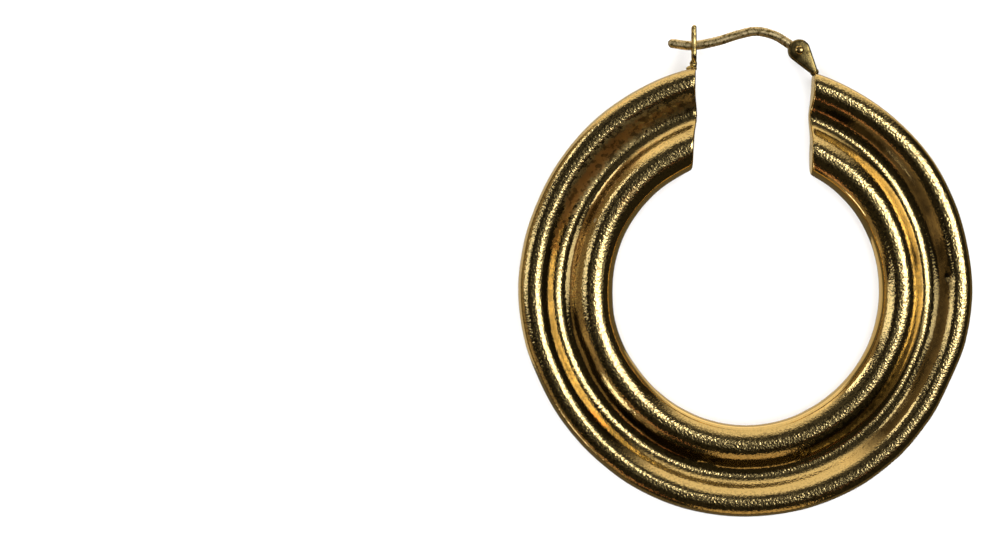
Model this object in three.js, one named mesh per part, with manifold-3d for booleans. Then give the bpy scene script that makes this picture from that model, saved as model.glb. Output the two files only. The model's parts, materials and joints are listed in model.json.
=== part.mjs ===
// Hoop earring: a hollow fluted hoop lying on its side, with a hinged ear wire across its gap.
//
// The hoop lies in the XY plane with its gap towards +Y. Everything is drawn about the centre of
// the hoop's hole, with z = 0 in the hoop's mid plane, and the whole earring is then moved so that
// it rests on z = 0 with its bounding box centred on the origin. Millimetres.

import * as THREE from 'three';
import { mergeVertices } from 'three/addons/utils/BufferGeometryUtils.js';
import Module from 'manifold-3d';

const wasm = await Module();
wasm.setup();

// ---------------------------------------------------------------- driving dimensions

// Hoop tube, seen as a flat band bent into a ring
const HOLE_RADIUS = 14.63;
const BAND_WIDTH = 10.38;         // from the hole's edge to the outer edge, at 3 and 9 o'clock
const BAND_TAPER = 0.022;         // the band is this much wider at the gap, narrower opposite it
const HALF_THICKNESS = 2.8;       // from the mid plane to the top of either bead
const CHANNEL_DEPTH = 1.65;       // from the top of the beads to the channel's floor
const INNER_CREST = 0.232;        // where the crests and the floor lie, as shares of the width
const CHANNEL_FLOOR = 0.537;
const OUTER_CREST = 0.845;
const CREST_FLAT = 0.3;           // narrow flat on each crest, worn by lying down
const WALL = 0.3;
// The sides of the beads are chains of arcs from the crest down, ending upright at the mid
// plane: the tilt that each arc reaches, in degrees, and its radius.
const HOLE_SIDE_ARCS = [
  { tilt: 29.6, radius: 2.085 }, { tilt: 34.1, radius: 6.7 },
  { tilt: 78, radius: 1.542 }, { tilt: 90, radius: 6.226 },
];
const OUTER_SIDE_ARCS = [
  { tilt: 30, radius: 1.5 }, { tilt: 34.1, radius: 2.8 },
  { tilt: 78, radius: 0.789 }, { tilt: 90, radius: 9.64 },
];
const ARC_STEPS = [2, 1, 3, 1];   // facets along each of those arcs
const CHANNEL_STEPS = 4;          // facets from a crest to the floor
const RING_STEPS = 60;
const LINING_ARC_STEPS = [1, 1, 2, 1]; // the unseen inside is coarser
const LINING_CHANNEL_STEPS = 3;
const LINING_RING_STEPS = 40;

// Gap: both ends are cut along straight lines, with a soft bulge at the waist
const CATCH_END = { innerX: -5.95, outerX: -5.6 };
const HINGE_END = { innerX: 7.08, outerX: 7.42 };
const END_INNER_Y = 13;
const END_OUTER_Y = 24.5;
const WAIST_Y = 19.3;
const WAIST_REACH = 2.9;
const WAIST_BULGE = 0.33;
const WAIST_STEPS = 8;
const GAP_INNER_Y = 8;            // the cut starts inside the hole and ends outside the ring
const GAP_OUTER_Y = 28;
const END_PLATE = 0.4;
const VENT = { radius: 0.4, y: 15.8, x: 7.2, length: 2 };

// Ear wire: slightly flattened round wire
const WIRE_HEIGHT = 1.02;         // seen from the front
const WIRE_THICKNESS = 0.8;       // along the hinge axis
const WIRE_SIDES = 12;
const WIRE_STEPS = 40;
const WIRE_ROUTE = [
  { name: 'tip', x: -8.1, y: 27.26 },
  { name: 'catch', x: -6.0, y: 27.03 },
  { name: 'rise', x: -3.2, y: 27.5 },
  { name: 'shoulder', x: -0.7, y: 28.27 },
  { name: 'crown', x: 1.15, y: 28.6 },
  { name: 'fall', x: 3.2, y: 28.12 },
  { name: 'eye', x: 5.5, y: 26.7 },
];

// Hinge
const HINGE = { x: 5.83, y: 26.5 };
const PIN_RADIUS = 0.33;
const PIN_CLEARANCE = 0.06;
const EYE_RADIUS = 1.0;
const CHEEK_RADIUS = 1.2;
const CHEEK_THICKNESS = 0.45;
const CHEEK_CLEARANCE = 0.06;     // between each cheek and the eye
const FORK_TAIL = { x: 7.4, y: 24.3, radius: 0.42 };
const FORK_WEB_START = 1.75;      // where the solid web behind the slot starts, from the pin
const DOME_RADIUS = 0.5;
const DOME_HEIGHT = 0.26;
const DOME_GAP = 0.05;
const HINGE_SOLDER = { x: 7.55, y: 24.1, rx: 0.5, ry: 0.45, rz: 0.85 };

// Catch: a wire bent into a U, standing open on the other end of the hoop
const CATCH_X = -5.73;
const PRONG_RADIUS = 0.27;
const PRONG_SPREAD = 0.78;        // from the mid plane to each prong's axis
const PRONG_PINCH = 0.04;         // how far each tip leans in
const PRONG_TOP_Y = 29.0;
const CATCH_BEND_Y = 26.1;        // where the prongs meet the bend
const CATCH_SOLDER = { x: -5.78, y: 24.95, rx: 0.42, ry: 0.62, rz: 0.72 };

// Derived
const FORK_INSIDE = WIRE_THICKNESS / 2 + CHEEK_CLEARANCE;
const FORK_OUTSIDE = FORK_INSIDE + CHEEK_THICKNESS;
const SMALL_SIDES = 16;
const PRONG_SIDES = 10;
const PRONG_STEPS = 20;

// ---------------------------------------------------------------- solids and joins

function toSolid(geometry) {
  const bare = geometry.clone();
  bare.deleteAttribute('normal');
  bare.deleteAttribute('uv');
  const merged = mergeVertices(bare, 1e-5);
  const triVerts = new Uint32Array(merged.index.array);
  const vertProperties = new Float32Array(merged.attributes.position.array);
  return new wasm.Manifold(new wasm.Mesh({ numProp: 3, vertProperties, triVerts }));
}

function toGeometry(solid) {
  const mesh = solid.getMesh();
  const geometry = new THREE.BufferGeometry();
  geometry.setAttribute('position', new THREE.BufferAttribute(mesh.vertProperties, 3));
  geometry.setIndex(new THREE.BufferAttribute(mesh.triVerts, 1));
  geometry.computeVertexNormals();
  return geometry;
}

// A closed ring of metal around the hole, from a closed outline of { out, z } points, where
// out is the distance from the hole's edge.
function ringSolid(outline, steps) {
  const points = outline.map((p) => new THREE.Vector2(HOLE_RADIUS + p.out, p.z));
  points.push(points[0].clone());
  const geometry = new THREE.LatheGeometry(points, steps);
  geometry.rotateX(Math.PI / 2);
  const position = geometry.attributes.position;
  for (let i = 0; i < position.count; i += 1) {
    const radius = Math.hypot(position.getX(i), position.getY(i));
    const towardsGap = position.getY(i) / radius;
    const tapered = HOLE_RADIUS + (radius - HOLE_RADIUS) * (1 + BAND_TAPER * towardsGap);
    position.setX(i, position.getX(i) * tapered / radius);
    position.setY(i, position.getY(i) * tapered / radius);
  }
  return toSolid(geometry);
}

function cylinderSolid(radius, length, sides) {
  return toSolid(new THREE.CylinderGeometry(radius, radius, length, sides));
}

function ellipsoidSolid({ x, y, z = 0, rx, ry, rz }) {
  const geometry = new THREE.SphereGeometry(1, SMALL_SIDES, SMALL_SIDES / 2);
  geometry.scale(rx, ry, rz);
  geometry.translate(x, y, z);
  return toSolid(geometry);
}

function ellipseShape(halfWidth, halfHeight, sides) {
  const ellipse = new THREE.EllipseCurve(0, 0, halfWidth, halfHeight);
  return new THREE.Shape(ellipse.getPoints(sides).slice(0, sides));
}

// ---------------------------------------------------------------- hoop

// Points down the side of a bead, as { out, drop } from its crest, fitted to the given width.
function beadSide(arcs, arcSteps, width) {
  const points = [{ out: 0, drop: 0 }];
  let start = 0;
  arcs.forEach(({ tilt, radius }, k) => {
    const end = THREE.MathUtils.degToRad(tilt);
    const from = points[points.length - 1];
    for (let i = 1; i <= arcSteps[k]; i += 1) {
      const angle = start + (end - start) * i / arcSteps[k];
      points.push({
        out: from.out + radius * (Math.sin(angle) - Math.sin(start)),
        drop: from.drop + radius * (Math.cos(start) - Math.cos(angle)),
      });
    }
    start = end;
  });
  const last = points[points.length - 1];
  return points.map((p) => ({
    out: p.out * width / last.out,
    drop: p.drop * HALF_THICKNESS / last.drop,
  }));
}

// Upper half of the cross-section from the hole's edge to the outer edge: a bead, the channel,
// and a narrower bead.
function upperOutline(arcSteps, channelSteps) {
  const flat = CREST_FLAT / 2;
  const inner = INNER_CREST * BAND_WIDTH - flat;
  const outer = OUTER_CREST * BAND_WIDTH + flat;
  const floor = CHANNEL_FLOOR * BAND_WIDTH;
  const holeSide = beadSide(HOLE_SIDE_ARCS, arcSteps, inner);
  const outerSide = beadSide(OUTER_SIDE_ARCS, arcSteps, BAND_WIDTH - outer);
  const channel = [];
  for (let i = 0; i <= 2 * channelSteps; i += 1) {
    const along = i / channelSteps - 1;
    const flank = along < 0 ? floor - inner - CREST_FLAT : outer - CREST_FLAT - floor;
    const drop = CHANNEL_DEPTH * (1 + Math.cos(Math.PI * along)) / 2;
    channel.push({ out: floor + flank * along, z: HALF_THICKNESS - drop });
  }
  return [
    ...holeSide.map((p) => ({ out: inner - p.out, z: HALF_THICKNESS - p.drop })).reverse(),
    ...channel,
    ...outerSide.map((p) => ({ out: outer + p.out, z: HALF_THICKNESS - p.drop })),
  ];
}

// The whole outline: the lower half mirrors the upper one, sharing the two edge points.
function wholeOutline(arcSteps, channelSteps) {
  const upper = upperOutline(arcSteps, channelSteps);
  const lower = upper.slice(1, -1).map((p) => ({ out: p.out, z: -p.z }));
  return [...upper, ...lower.reverse()].reverse();
}

// The same outline moved inwards by the wall's thickness.
function insetOutline(outline, wall) {
  const count = outline.length;
  return outline.map((p, i) => {
    const before = outline[(i + count - 1) % count];
    const after = outline[(i + 1) % count];
    const alongOut = after.out - before.out;
    const alongZ = after.z - before.z;
    const length = Math.hypot(alongOut, alongZ);
    return { out: p.out - (alongZ / length) * wall, z: p.z + (alongOut / length) * wall };
  });
}

// One cut end of the hoop as a line of points running outwards; bulge is signed along x.
function endLine({ innerX, outerX }, bulge, shift) {
  const slope = (outerX - innerX) / (END_OUTER_Y - END_INNER_Y);
  const straight = (y) => innerX + shift + slope * (y - END_INNER_Y);
  const line = [new THREE.Vector2(straight(GAP_INNER_Y), GAP_INNER_Y)];
  for (let i = 0; i <= WAIST_STEPS; i += 1) {
    const along = 2 * i / WAIST_STEPS - 1;
    const y = WAIST_Y + WAIST_REACH * along;
    const swell = bulge * (1 + Math.cos(Math.PI * along)) / 2;
    line.push(new THREE.Vector2(straight(y) + swell, y));
  }
  line.push(new THREE.Vector2(straight(GAP_OUTER_Y), GAP_OUTER_Y));
  return line;
}

// The space between the hoop's ends, widened by margin into the metal on both sides.
function gapSolid(margin) {
  const catchSide = endLine(CATCH_END, WAIST_BULGE, -margin);
  const hingeSide = endLine(HINGE_END, -WAIST_BULGE, margin);
  const shape = new THREE.Shape([...catchSide, ...hingeSide.reverse()]);
  const depth = 4 * HALF_THICKNESS;
  const geometry = new THREE.ExtrudeGeometry(shape, { depth, bevelEnabled: false });
  geometry.translate(0, 0, -depth / 2);
  return toSolid(geometry);
}

function hollowHoop() {
  const skin = ringSolid(wholeOutline(ARC_STEPS, CHANNEL_STEPS), RING_STEPS);
  const liningOutline = wholeOutline(LINING_ARC_STEPS, LINING_CHANNEL_STEPS);
  const lining = ringSolid(insetOutline(liningOutline, WALL), LINING_RING_STEPS);
  const vent = cylinderSolid(VENT.radius, VENT.length, SMALL_SIDES)
    .rotate([0, 0, 90])
    .translate([VENT.x, VENT.y, 0]);
  const body = skin.subtract(gapSolid(0));
  const cavity = lining.subtract(gapSolid(END_PLATE)).add(vent);
  return body.subtract(cavity);
}

// A U of round wire with rounded tips, its bend soldered on the hoop's end.
function catchSolid() {
  const tipSpread = PRONG_SPREAD - PRONG_PINCH;
  const bend = CATCH_BEND_Y - PRONG_SPREAD;
  const at = (y, z) => new THREE.Vector3(CATCH_X, y, z);
  const path = new THREE.CurvePath();
  const roundness = 0.5523 * PRONG_SPREAD;
  path.add(new THREE.LineCurve3(at(PRONG_TOP_Y, tipSpread), at(CATCH_BEND_Y, PRONG_SPREAD)));
  path.add(new THREE.CubicBezierCurve3(
    at(CATCH_BEND_Y, PRONG_SPREAD), at(CATCH_BEND_Y - roundness, PRONG_SPREAD),
    at(bend, roundness), at(bend, 0),
  ));
  path.add(new THREE.CubicBezierCurve3(
    at(bend, 0), at(bend, -roundness),
    at(CATCH_BEND_Y - roundness, -PRONG_SPREAD), at(CATCH_BEND_Y, -PRONG_SPREAD),
  ));
  path.add(new THREE.LineCurve3(at(CATCH_BEND_Y, -PRONG_SPREAD), at(PRONG_TOP_Y, -tipSpread)));
  const wire = toSolid(new THREE.ExtrudeGeometry(ellipseShape(PRONG_RADIUS, PRONG_RADIUS, PRONG_SIDES), {
    extrudePath: path, steps: PRONG_STEPS, bevelEnabled: false,
  }));
  const tip = { x: CATCH_X, y: PRONG_TOP_Y, rx: PRONG_RADIUS, ry: PRONG_RADIUS, rz: PRONG_RADIUS };
  return wire
    .add(ellipsoidSolid({ ...tip, z: tipSpread }))
    .add(ellipsoidSolid({ ...tip, z: -tipSpread }))
    .add(ellipsoidSolid(CATCH_SOLDER));
}

// Teardrop outline: a round head about the pin, drawn down to a narrow tail on the hoop.
function teardropShape() {
  const dx = FORK_TAIL.x - HINGE.x;
  const dy = FORK_TAIL.y - HINGE.y;
  const distance = Math.hypot(dx, dy);
  const heading = Math.atan2(dy, dx);
  const spread = Math.acos((CHEEK_RADIUS - FORK_TAIL.radius) / distance);
  const shape = new THREE.Shape();
  shape.absarc(HINGE.x, HINGE.y, CHEEK_RADIUS, heading + spread, heading - spread + 2 * Math.PI);
  shape.absarc(FORK_TAIL.x, FORK_TAIL.y, FORK_TAIL.radius, heading - spread, heading + spread);
  return shape;
}

function forkSolid() {
  const whole = new THREE.ExtrudeGeometry(teardropShape(), {
    depth: 2 * FORK_OUTSIDE, bevelEnabled: false, curveSegments: SMALL_SIDES,
  });
  whole.translate(0, 0, -FORK_OUTSIDE);
  const slot = new THREE.CylinderGeometry(FORK_WEB_START, FORK_WEB_START, 2 * FORK_INSIDE, 32);
  slot.rotateX(Math.PI / 2);
  slot.translate(HINGE.x, HINGE.y, 0);
  const pinHole = new THREE.CylinderGeometry(
    PIN_RADIUS + PIN_CLEARANCE, PIN_RADIUS + PIN_CLEARANCE, 4 * FORK_OUTSIDE, SMALL_SIDES,
  );
  pinHole.rotateX(Math.PI / 2);
  pinHole.translate(HINGE.x, HINGE.y, 0);
  return toSolid(whole)
    .add(ellipsoidSolid(HINGE_SOLDER))
    .subtract(toSolid(slot))
    .subtract(toSolid(pinHole));
}

// ---------------------------------------------------------------- ear wire and rivet

function earWireSolid() {
  const route = WIRE_ROUTE.map((p) => new THREE.Vector3(p.x, p.y, 0));
  const path = new THREE.CatmullRomCurve3(route, false, 'centripetal');
  const section = ellipseShape(WIRE_THICKNESS / 2, WIRE_HEIGHT / 2, WIRE_SIDES);
  const wire = toSolid(new THREE.ExtrudeGeometry(section, {
    extrudePath: path, steps: WIRE_STEPS, bevelEnabled: false,
  }));
  const tip = ellipsoidSolid({
    x: route[0].x, y: route[0].y, rx: WIRE_HEIGHT / 2, ry: WIRE_HEIGHT / 2, rz: WIRE_THICKNESS / 2,
  });
  const eye = new THREE.CylinderGeometry(EYE_RADIUS, EYE_RADIUS, WIRE_THICKNESS, 32);
  const hole = new THREE.CylinderGeometry(
    PIN_RADIUS + PIN_CLEARANCE, PIN_RADIUS + PIN_CLEARANCE, 2 * WIRE_THICKNESS, SMALL_SIDES,
  );
  for (const disc of [eye, hole]) {
    disc.rotateX(Math.PI / 2);
    disc.translate(HINGE.x, HINGE.y, 0);
  }
  return wire.add(tip).add(toSolid(eye)).subtract(toSolid(hole));
}

// Pin with a low dome at each end, turned about the hinge axis.
function rivetGeometry() {
  const under = FORK_OUTSIDE + DOME_GAP;
  const top = under + DOME_HEIGHT;
  const half = [new THREE.Vector2(PIN_RADIUS, under), new THREE.Vector2(DOME_RADIUS, under)];
  for (const turn of [20, 45, 68]) {
    const angle = turn * Math.PI / 180;
    half.push(new THREE.Vector2(DOME_RADIUS * Math.cos(angle), under + DOME_HEIGHT * Math.sin(angle)));
  }
  half.push(new THREE.Vector2(0, top));
  const lower = half.map((p) => new THREE.Vector2(p.x, -p.y)).reverse();
  const geometry = new THREE.LatheGeometry([...lower, ...half], SMALL_SIDES);
  geometry.rotateX(Math.PI / 2);
  geometry.translate(HINGE.x, HINGE.y, 0);
  return geometry;
}

// ---------------------------------------------------------------- the earring

const giltMetal = (name, color, roughness) => new THREE.MeshStandardMaterial({
  name, color, roughness, metalness: 1,
});

function piece(name, geometry, material) {
  const mesh = new THREE.Mesh(geometry, material);
  mesh.name = name;
  return mesh;
}

const hoopSolid = hollowHoop().add(catchSolid()).add(forkSolid());

const earring = new THREE.Group();
earring.add(
  piece('hoop', toGeometry(hoopSolid), giltMetal('gilt_hoop', 0xb79a4e, 0.28)),
  piece('ear_wire', toGeometry(earWireSolid()), giltMetal('gilt_wire', 0xa89468, 0.38)),
  piece('hinge_rivet', rivetGeometry(), giltMetal('gilt_rivet', 0x9c8a5e, 0.32)),
);

const bounds = new THREE.Box3().setFromObject(earring);
const centre = bounds.getCenter(new THREE.Vector3());
earring.position.set(-centre.x, -centre.y, -bounds.min.z);

export default earring;
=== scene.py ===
import json
import math

import bmesh
import bpy
from bpy.props import (
    FloatProperty, FloatVectorProperty, IntProperty, PointerProperty,
)
from mathutils import Matrix, Vector, noise


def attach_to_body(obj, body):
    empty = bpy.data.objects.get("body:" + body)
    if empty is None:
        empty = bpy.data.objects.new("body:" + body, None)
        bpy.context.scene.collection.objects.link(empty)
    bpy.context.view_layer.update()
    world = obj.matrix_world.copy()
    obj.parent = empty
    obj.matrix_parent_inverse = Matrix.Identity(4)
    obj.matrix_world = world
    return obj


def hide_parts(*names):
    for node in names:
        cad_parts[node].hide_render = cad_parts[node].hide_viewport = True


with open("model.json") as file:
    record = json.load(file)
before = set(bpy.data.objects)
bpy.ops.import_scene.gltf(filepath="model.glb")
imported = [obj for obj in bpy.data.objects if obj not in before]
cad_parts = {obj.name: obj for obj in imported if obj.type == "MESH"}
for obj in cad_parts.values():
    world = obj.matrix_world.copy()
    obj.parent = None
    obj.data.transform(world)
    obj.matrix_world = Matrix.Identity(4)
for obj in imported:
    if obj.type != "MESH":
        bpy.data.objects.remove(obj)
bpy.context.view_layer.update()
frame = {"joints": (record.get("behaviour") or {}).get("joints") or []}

bl_info = {
    "name": "Fluted hoop earring",
    "version": (1, 0, 0),
    "blender": (4, 5, 0),
    "location": "3D View > Sidebar > Earring",
    "description": "Builds the finished surfaces of a hollow fluted hoop earring and its studio",
    "category": "Object",
}

# Everything is drawn about the centre of the hoop's hole, which lies at a known offset from the
# hinge pin; the gap in the hoop is towards +Y and z = 0 is the hoop's mid plane.
MM = 0.001
HINGE_X = 5.83 * MM
HINGE_Y = 26.5 * MM
HINGE_JOINT = next(j for j in frame["joints"] if j["name"] == "ear_wire_hinge")
CENTRE = Vector(HINGE_JOINT["pos_m"]) - Vector((HINGE_X, HINGE_Y, 0.0))


# ------------------------------------------------------------------ kinds of setting

def length(name, description, millimetres):
    return FloatProperty(
        name=name, description=description, default=millimetres * MM,
        unit="LENGTH", precision=5,
    )


def share(name, description, value):
    return FloatProperty(
        name=name, description=description, default=value, min=0.0, max=1.0,
        subtype="FACTOR",
    )


def steps(name, description, value):
    return IntProperty(name=name, description=description, default=value, min=3)


def linear(hex_colour):
    """A colour written as sRGB hex, turned to the linear values that shaders use."""
    channels = [int(hex_colour[i:i + 2], 16) / 255 for i in (1, 3, 5)]
    return tuple(c / 12.92 if c <= 0.04045 else ((c + 0.055) / 1.055) ** 2.4 for c in channels)


def colour(name, description, hex_colour):
    return FloatVectorProperty(
        name=name, description=description, default=linear(hex_colour),
        min=0.0, max=1.0, subtype="COLOR",
    )


# ------------------------------------------------------------------ settings

class HoopSizes(bpy.types.PropertyGroup):
    """The hollow fluted tube and its two cut ends"""
    hole_radius: length("Hole radius", "Radius of the hoop's open centre", 14.63)
    band_width: length("Band width", "From the hole's edge to the outer edge", 10.38)
    band_taper: share("Band taper", "How much wider the band is at the gap", 0.022)
    half_thickness: length("Half thickness", "Mid plane to the top of either bead", 2.8)
    channel_depth: length("Channel depth", "Top of the beads to the channel's floor", 1.65)
    inner_crest: share("Inner crest", "Place of the inner bead's top across the band", 0.232)
    channel_floor: share("Channel floor", "Place of the channel's floor across the band", 0.537)
    outer_crest: share("Outer crest", "Place of the outer bead's top across the band", 0.845)
    crest_flat: length("Crest flat", "Width of the worn flat along each crest", 0.3)
    wall: length("Wall", "Thickness of the tube's metal", 0.3)
    end_plate: length("End plate", "Thickness of the plates that close the ends", 0.4)
    rim_round: length("Rim rounding", "Rounding where the tube meets its end plates", 0.24)
    waist_bulge: length("Waist bulge", "How far each end swells at its waist", 0.33)
    waist_y: length("Waist place", "Height of the waist above the hole's centre", 19.3)
    waist_reach: length("Waist reach", "How far the swelling reaches to either side", 2.9)
    vent_radius: length("Vent radius", "Hole in the hinge end's plate", 0.4)
    vent_y: length("Vent place", "Height of the vent above the hole's centre", 15.8)
    ring_steps: steps("Ring steps", "Facets round the hoop", 340)


class EarWireSizes(bpy.types.PropertyGroup):
    """The bent wire that goes through the ear"""
    height: length("Height", "Thickness of the wire seen from the front", 1.02)
    thickness: length("Thickness", "Thickness along the hinge axis", 0.8)
    eye_radius: length("Eye radius", "Radius of the flat eye on the pin", 1.0)


class ClaspSizes(bpy.types.PropertyGroup):
    """The fork with its rivet, and the two-pronged catch"""
    cheek_radius: length("Cheek radius", "Radius of the fork's round head", 1.2)
    cheek_thickness: length("Cheek thickness", "Thickness of each side of the fork", 0.45)
    cheek_clearance: length("Clearance", "Space between each cheek and the eye", 0.06)
    cheek_round: length("Cheek rounding", "Rounding of the cheeks' outer edges", 0.24)
    tail_x: length("Tail X", "End of the fork, along X", 7.4)
    tail_y: length("Tail Y", "End of the fork, along Y", 24.3)
    tail_radius: length("Tail radius", "Half width of the fork's tail", 0.42)
    web_start: length("Web start", "Where the slot ends, from the pin", 1.75)
    pin_radius: length("Pin radius", "Radius of the rivet's pin", 0.33)
    pin_clearance: length("Pin clearance", "Space around the pin", 0.06)
    dome_radius: length("Dome radius", "Radius of the rivet's heads", 0.5)
    dome_height: length("Dome height", "Height of the rivet's heads", 0.26)
    dome_gap: length("Dome gap", "Space under the rivet's heads", 0.05)
    catch_x: length("Catch X", "Place of the catch, along X", -5.73)
    prong_radius: length("Prong radius", "Radius of the catch's wire", 0.27)
    prong_spread: length("Prong spread", "Mid plane to each prong's axis", 0.78)
    prong_pinch: length("Prong pinch", "How far each tip leans in", 0.04)
    prong_top: length("Prong top", "Height of the prongs' tips", 29.0)
    bend_y: length("Bend start", "Height at which the prongs start to bend", 26.1)


class Finishes(bpy.types.PropertyGroup):
    """Colours of the metal as it is and as it has worn, with painted shade in the tarnish and in the
    fork's colour
    """
    rubbed: colour("Rubbed gilt", "Pale plating on the crests, rubbed bright", "#F9DD98")
    gilt: colour("Gilt", "Deeper gold of the plating on the flanks", "#F6D48A")
    # The tarnish colour is partly real brown tarnish and partly painted shade for the channel's
    # flanks.
    tarnish_and_shade: colour("Tarnish", "Dull brown film in the channel", "#5F5238")
    grime: colour("Grime", "Dark film in corners and pits", "#4E4022")
    wire: colour("Wire", "Worn, paler plating of the ear wire", "#FCE4AC")
    copper: colour("Copper", "Base metal that shows where the plating is thin", "#C88C4A")
    pale: colour("Pale", "Specks of bare bright metal", "#FFF6D8")
    # The fork's colour is a darker, olive copy of the gilt; its darkness is painted shade.
    fork: colour("Fork", "Dark olive film over the fork", "#A08C58")
    scuff: colour("Scuff", "Brown wear marks of the ear wire", "#8F794A")
    solder: colour("Solder", "Bright solder at the joints", "#EBD28A")
    crest_grain: length("Crest grain", "Size of the fine scratches on the crests", 0.22)
    grain_depth: length("Grain depth", "Depth of the fine scratches", 0.036)


class Studio(bpy.types.PropertyGroup):
    """Camera, floor and lights"""
    camera_height: length("Camera height", "Camera above the hoop's mid plane", 500.0)
    frame_width: length("Frame width", "Width of the view at the hoop's mid plane", 110.13)
    offset_x: length("Offset X", "Camera from the hoop's centre, along X", -27.09)
    offset_y: length("Offset Y", "Camera from the hoop's centre, along Y", 2.04)
    floor_radius: length("Floor radius", "Radius of the round floor", 2500.0)
    floor: colour("Floor", "Pale floor", "#F6F6F6")
    dark: colour("Room", "Dim room above the table", "#232019")
    table: colour("Table", "What the metal mirrors from below the horizon", "#5A5344")
    card_distance: length("Card distance", "Lights from the hoop's centre", 450.0)


class EarringSettings(bpy.types.PropertyGroup):
    """Everything that can be changed"""
    hoop: PointerProperty(type=HoopSizes)
    ear_wire: PointerProperty(type=EarWireSizes)
    clasp: PointerProperty(type=ClaspSizes)
    finishes: PointerProperty(type=Finishes)
    studio: PointerProperty(type=Studio)


def settings():
    return bpy.context.scene.earring


# ------------------------------------------------------------------ tables of the real shape

# Sides of the two beads as chains of arcs, from the crest down: (tilt reached in degrees,
# radius in millimetres). Each ends upright at the mid plane.
HOLE_SIDE_ARCS = ((29.6, 2.085), (34.1, 6.7), (78.0, 1.542), (90.0, 6.226))
OUTER_SIDE_ARCS = ((30.0, 1.5), (34.1, 2.8), (78.0, 0.789), (90.0, 9.64))
ARC_STEPS = (7, 2, 9, 3)

# Lines of the two cut ends: x at the hole's side and at the outer side, and which way is metal.
END_INNER_Y = 13.0 * MM
END_OUTER_Y = 24.5 * MM
CATCH_END = {"inner_x": -5.95 * MM, "outer_x": -5.6 * MM, "metal": -1.0}
HINGE_END = {"inner_x": 7.08 * MM, "outer_x": 7.42 * MM, "metal": 1.0}

# The worn outline, every 12 degrees round from +X: how far the hole's edge and the outer edge
# lie from their true circles, in millimetres.
OUTLINE_WEAR = (
    (0.02, -0.12), (0.05, -0.20), (0.10, -0.14), (0.14, -0.04), (0.11, -0.09), (0.02, -0.10),
    (0.00, -0.05), (0.00, 0.00), (0.00, 0.00), (0.00, 0.02), (-0.05, -0.03), (0.02, -0.01),
    (0.05, -0.06), (0.10, -0.10), (0.08, -0.01), (0.06, 0.09), (0.14, 0.04), (0.11, -0.11),
    (0.02, -0.07), (0.04, -0.04), (0.08, 0.07), (0.12, 0.10), (0.15, 0.07), (0.14, 0.04),
    (0.12, 0.06), (0.05, 0.05), (0.02, -0.05), (0.02, -0.22), (0.04, -0.41), (0.02, -0.18),
)

# Dents in the front of the tube: angle round from +X, place across the band, depth and reach
# along and across the band, in millimetres.
DENTS = (
    {"name": "ding in the channel", "angle": -103, "across": 0.44, "depth": 0.12,
     "along": 0.6, "over": 0.5},
    {"name": "knock beside it", "angle": -96, "across": 0.5, "depth": 0.03,
     "along": 2.0, "over": 0.8},
    {"name": "crease at the right", "angle": 4, "across": 0.74, "depth": 0.11,
     "along": 0.8, "over": 0.5},
    {"name": "hollow above it", "angle": 12, "across": 0.66, "depth": 0.05,
     "along": 2.4, "over": 0.8},
    {"name": "lower left dimple", "angle": -158, "across": 0.4, "depth": 0.04,
     "along": 1.6, "over": 0.6},
)

# Route of the ear wire's axis, in millimetres from the hole's centre.
WIRE_ROUTE = (
    {"name": "tip", "x": -8.1, "y": 27.26},
    {"name": "catch", "x": -6.0, "y": 27.03},
    {"name": "rise", "x": -3.2, "y": 27.5},
    {"name": "shoulder", "x": -0.7, "y": 28.27},
    {"name": "crown", "x": 1.15, "y": 28.6},
    {"name": "fall", "x": 3.2, "y": 28.12},
    {"name": "eye", "x": 5.2, "y": 26.89},
)

# Solder: centre and half sizes in millimetres from the hole's centre.
CATCH_SOLDER = (
    {"at": (-5.78, 24.95, 0.0), "half": (0.42, 0.62, 0.72)},
    {"at": (-5.98, 24.5, 0.0), "half": (0.62, 0.34, 0.85)},
)
HINGE_SOLDER = {"at": (7.55, 24.1, 0.0), "half": (0.5, 0.45, 0.85)}


# ------------------------------------------------------------------ shared helpers

def finished_object(name, bm, material, sharp_above=35.0):
    """Moves a bmesh to its place and turns it into a smooth-shaded object."""
    bmesh.ops.translate(bm, verts=bm.verts, vec=CENTRE)
    mesh = bpy.data.meshes.new(name)
    bm.to_mesh(mesh)
    bm.free()
    mesh.materials.append(material)
    mesh.shade_smooth()
    mesh.set_sharp_from_angle(angle=math.radians(sharp_above))
    obj = bpy.data.objects.new(name, mesh)
    bpy.context.scene.collection.objects.link(obj)
    return obj


def attach(obj, body, node):
    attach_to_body(obj, body)
    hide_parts(node)


def verts_of(geometry):
    return [g for g in geometry if isinstance(g, bmesh.types.BMVert)]


def edges_of(geometry):
    return [g for g in geometry if isinstance(g, bmesh.types.BMEdge)]


def edges_among(verts):
    chosen = set(verts)
    return list({e for v in verts for e in v.link_edges if e.other_vert(v) in chosen})


def smooth_route(points, count):
    """Points spaced along a smooth curve through the given points."""
    knots = [0.0]
    for a, b in zip(points, points[1:]):
        knots.append(knots[-1] + math.sqrt((b - a).length))
    padded = [2 * points[0] - points[1], *points, 2 * points[-1] - points[-2]]
    ends = [2 * knots[0] - knots[1], *knots, 2 * knots[-1] - knots[-2]]
    route = []
    for i in range(count + 1):
        t = knots[-1] * i / count
        k = min(sum(1 for v in knots[1:-1] if v <= t), len(points) - 2)
        p, s = padded[k:k + 4], ends[k:k + 4]
        for span in (1, 2, 3):
            for j in range(4 - span):
                low, high = (s[1], s[2]) if span == 3 else (s[j], s[j + span])
                p[j] = p[j].lerp(p[j + 1], (t - low) / (high - low))
        route.append(p[0])
    return route


# Where the rings of a rounded wire tip stand, in degrees from the wire's full width.
TIP_ANGLES = (15, 35, 55, 72, 84)


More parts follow.
